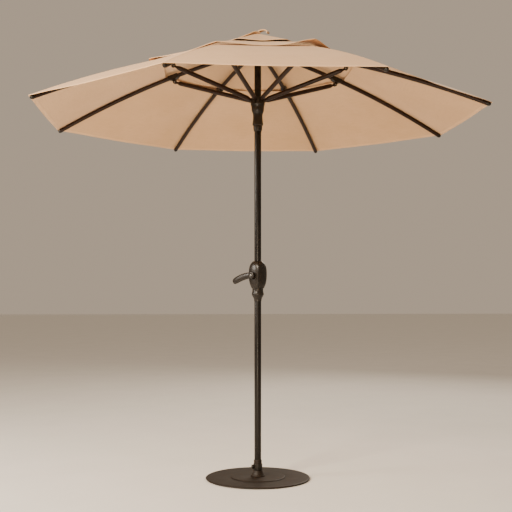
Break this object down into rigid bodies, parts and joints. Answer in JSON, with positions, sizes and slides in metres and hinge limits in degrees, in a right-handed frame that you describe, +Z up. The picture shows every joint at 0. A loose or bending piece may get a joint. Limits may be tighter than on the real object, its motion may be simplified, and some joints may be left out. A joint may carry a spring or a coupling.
{
  "type": "patio umbrella",
  "caption": "Octagonal market umbrella with a double-vented cloth canopy, folding ribs and struts, crank lift and round steel base.",
  "frame": {"origin": "middle of the underside of the base's foot ring, on the floor, on the pole's axis", "axes": "+Z up along the pole; -Y is the side that the picture shows; the crank handle points to -X and +Y"},
  "size_m": [2.3466, 2.3466, 2.4988],
  "materials": {
    "pole_metal": "satin dark bronze powder coat",
    "rib_metal": "satin dark brown powder coat",
    "base_metal": "matte dark bronze powder coat, finely textured",
    "dark_plastic": "satin moulded",
    "plain_steel": "zinc plated",
    "rubber": "matte",
    "canopy_fabric": "plain woven beige polyester",
    "cord": "braided"
  },
  "bodies": {
    "stand": {"foot_ring": "rubber", "base_plate": "base_metal", "base_cover": "base_metal", "base_stem": "base_metal", "stem_collar": "dark_plastic", "stem_bolt": "plain_steel", "lower_pole": "pole_metal", "upper_pole": "pole_metal", "pole_spigot": "pole_metal", "pole_coupling": "dark_plastic", "crank_housing_left": "dark_plastic", "crank_housing_right": "dark_plastic", "brake_spring": "plain_steel", "top_hub": "dark_plastic", "hub_ring": "plain_steel", "hub_cover": "dark_plastic", "crown_cap": "dark_plastic", "top_loop": "canopy_fabric", "pulley_axle": "plain_steel", "lift_cord": "cord"},
    "lock_knob": {"lock_knob": "dark_plastic"},
    "crank": {"crank_drum": "plain_steel", "crank_handle": "dark_plastic", "handle_screw": "plain_steel"},
    "pulley": {"pulley": "dark_plastic"},
    "runner": {"runner_body": "dark_plastic", "runner_sleeve": "dark_plastic", "runner_ring": "plain_steel"},
    "rib_1": {"rib_1": "rib_metal", "canopy_1": "canopy_fabric", "vent_1": "canopy_fabric"},
    "strut_1": {"strut_1": "rib_metal"},
    "rib_2": {"rib_2": "rib_metal", "canopy_2": "canopy_fabric", "vent_2": "canopy_fabric"},
    "strut_2": {"strut_2": "rib_metal"},
    "rib_3": {"rib_3": "rib_metal", "canopy_3": "canopy_fabric", "vent_3": "canopy_fabric"},
    "strut_3": {"strut_3": "rib_metal"},
    "rib_4": {"rib_4": "rib_metal", "canopy_4": "canopy_fabric", "vent_4": "canopy_fabric"},
    "strut_4": {"strut_4": "rib_metal"},
    "rib_5": {"rib_5": "rib_metal", "canopy_5": "canopy_fabric", "vent_5": "canopy_fabric"},
    "strut_5": {"strut_5": "rib_metal"},
    "rib_6": {"rib_6": "rib_metal", "canopy_6": "canopy_fabric", "vent_6": "canopy_fabric"},
    "strut_6": {"strut_6": "rib_metal"},
    "rib_7": {"rib_7": "rib_metal", "canopy_7": "canopy_fabric", "vent_7": "canopy_fabric"},
    "strut_7": {"strut_7": "rib_metal"},
    "rib_8": {"rib_8": "rib_metal", "canopy_8": "canopy_fabric", "vent_8": "canopy_fabric"},
    "strut_8": {"strut_8": "rib_metal"}
  },
  "joints": [
    {"name": "canopy_fold", "type": "hinge", "parent": "stand", "child": "rib_1", "pos_m": [0.01225, -0.02956, 2.385], "axis": [0.9239, 0.3827, 0], "range_deg": [0, 65.4], "deforming": ["canopy_1", "vent_1"]},
    {"name": "rib_2_fold", "type": "hinge", "parent": "stand", "child": "rib_2", "pos_m": [0.02956, -0.01225, 2.385], "axis": [0.3827, 0.9239, 0], "range_deg": [0, 65.4], "deforming": ["canopy_2", "vent_2"]},
    {"name": "rib_3_fold", "type": "hinge", "parent": "stand", "child": "rib_3", "pos_m": [0.02956, 0.01225, 2.385], "axis": [-0.3827, 0.9239, 0], "range_deg": [0, 65.4], "deforming": ["canopy_3", "vent_3"]},
    {"name": "rib_4_fold", "type": "hinge", "parent": "stand", "child": "rib_4", "pos_m": [0.01225, 0.02956, 2.385], "axis": [-0.9239, 0.3827, 0], "range_deg": [0, 65.4], "deforming": ["canopy_4", "vent_4"]},
    {"name": "rib_5_fold", "type": "hinge", "parent": "stand", "child": "rib_5", "pos_m": [-0.01225, 0.02956, 2.385], "axis": [-0.9239, -0.3827, 0], "range_deg": [0, 65.4], "deforming": ["canopy_5", "vent_5"]},
    {"name": "rib_6_fold", "type": "hinge", "parent": "stand", "child": "rib_6", "pos_m": [-0.02956, 0.01225, 2.385], "axis": [-0.3827, -0.9239, 0], "range_deg": [0, 65.4], "deforming": ["canopy_6", "vent_6"]},
    {"name": "rib_7_fold", "type": "hinge", "parent": "stand", "child": "rib_7", "pos_m": [-0.02956, -0.01225, 2.385], "axis": [0.3827, -0.9239, 0], "range_deg": [0, 65.4], "deforming": ["canopy_7", "vent_7"]},
    {"name": "rib_8_fold", "type": "hinge", "parent": "stand", "child": "rib_8", "pos_m": [-0.01225, -0.02956, 2.385], "axis": [0.9239, -0.3827, 0], "range_deg": [0, 65.4], "deforming": ["canopy_8", "vent_8"]},
    {"name": "strut_1_hinge", "type": "hinge", "parent": "rib_1", "child": "strut_1", "pos_m": [0.19194, -0.46339, 2.245], "axis": [0.9239, 0.3827, 0], "range_deg": [-130.8, 0]},
    {"name": "strut_2_hinge", "type": "hinge", "parent": "rib_2", "child": "strut_2", "pos_m": [0.46339, -0.19194, 2.245], "axis": [0.3827, 0.9239, 0], "range_deg": [-130.8, 0]},
    {"name": "strut_3_hinge", "type": "hinge", "parent": "rib_3", "child": "strut_3", "pos_m": [0.46339, 0.19194, 2.245], "axis": [-0.3827, 0.9239, 0], "range_deg": [-130.8, 0]},
    {"name": "strut_4_hinge", "type": "hinge", "parent": "rib_4", "child": "strut_4", "pos_m": [0.19194, 0.46339, 2.245], "axis": [-0.9239, 0.3827, 0], "range_deg": [-130.8, 0]},
    {"name": "strut_5_hinge", "type": "hinge", "parent": "rib_5", "child": "strut_5", "pos_m": [-0.19194, 0.46339, 2.245], "axis": [-0.9239, -0.3827, 0], "range_deg": [-130.8, 0]},
    {"name": "strut_6_hinge", "type": "hinge", "parent": "rib_6", "child": "strut_6", "pos_m": [-0.46339, 0.19194, 2.245], "axis": [-0.3827, -0.9239, 0], "range_deg": [-130.8, 0]},
    {"name": "strut_7_hinge", "type": "hinge", "parent": "rib_7", "child": "strut_7", "pos_m": [-0.46339, -0.19194, 2.245], "axis": [0.3827, -0.9239, 0], "range_deg": [-130.8, 0]},
    {"name": "strut_8_hinge", "type": "hinge", "parent": "rib_8", "child": "strut_8", "pos_m": [-0.19194, -0.46339, 2.245], "axis": [0.9239, -0.3827, 0], "range_deg": [-130.8, 0]},
    {"name": "runner_hinge", "type": "hinge", "parent": "strut_1", "child": "runner", "pos_m": [0.01225, -0.02956, 2.105], "axis": [0.9239, 0.3827, 0], "range_deg": [0, 65.4]},
    {"name": "crank_turn", "type": "hinge", "parent": "stand", "child": "crank", "pos_m": [0, 0, 1.132], "axis": [-0.7071, -0.7071, 0], "range_deg": [0, 3956.7]},
    {"name": "pulley_turn", "type": "hinge", "parent": "stand", "child": "pulley", "pos_m": [0, 0, 2.412], "axis": [0.7071, -0.7071, 0], "range_deg": [0, 3840.9]},
    {"name": "lock_knob_turn", "type": "hinge", "parent": "stand", "child": "lock_knob", "pos_m": [0, 0, 0.069], "axis": [-0.9397, -0.342, 0], "range_deg": [0, 540]}
  ],
  "couplings": [
    {"joint": "rib_2_fold", "follows": "canopy_fold", "ratio": 1},
    {"joint": "rib_3_fold", "follows": "canopy_fold", "ratio": 1},
    {"joint": "rib_4_fold", "follows": "canopy_fold", "ratio": 1},
    {"joint": "rib_5_fold", "follows": "canopy_fold", "ratio": 1},
    {"joint": "rib_6_fold", "follows": "canopy_fold", "ratio": 1},
    {"joint": "rib_7_fold", "follows": "canopy_fold", "ratio": 1},
    {"joint": "rib_8_fold", "follows": "canopy_fold", "ratio": 1},
    {"joint": "strut_1_hinge", "follows": "canopy_fold", "ratio": -2},
    {"joint": "strut_2_hinge", "follows": "canopy_fold", "ratio": -2},
    {"joint": "strut_3_hinge", "follows": "canopy_fold", "ratio": -2},
    {"joint": "strut_4_hinge", "follows": "canopy_fold", "ratio": -2},
    {"joint": "strut_5_hinge", "follows": "canopy_fold", "ratio": -2},
    {"joint": "strut_6_hinge", "follows": "canopy_fold", "ratio": -2},
    {"joint": "strut_7_hinge", "follows": "canopy_fold", "ratio": -2},
    {"joint": "strut_8_hinge", "follows": "canopy_fold", "ratio": -2},
    {"joint": "runner_hinge", "follows": "canopy_fold", "ratio": 1},
    {"joint": "crank_turn", "follows": "canopy_fold", "ratio": 60.5},
    {"joint": "pulley_turn", "follows": "canopy_fold", "ratio": 58.73}
  ]
}
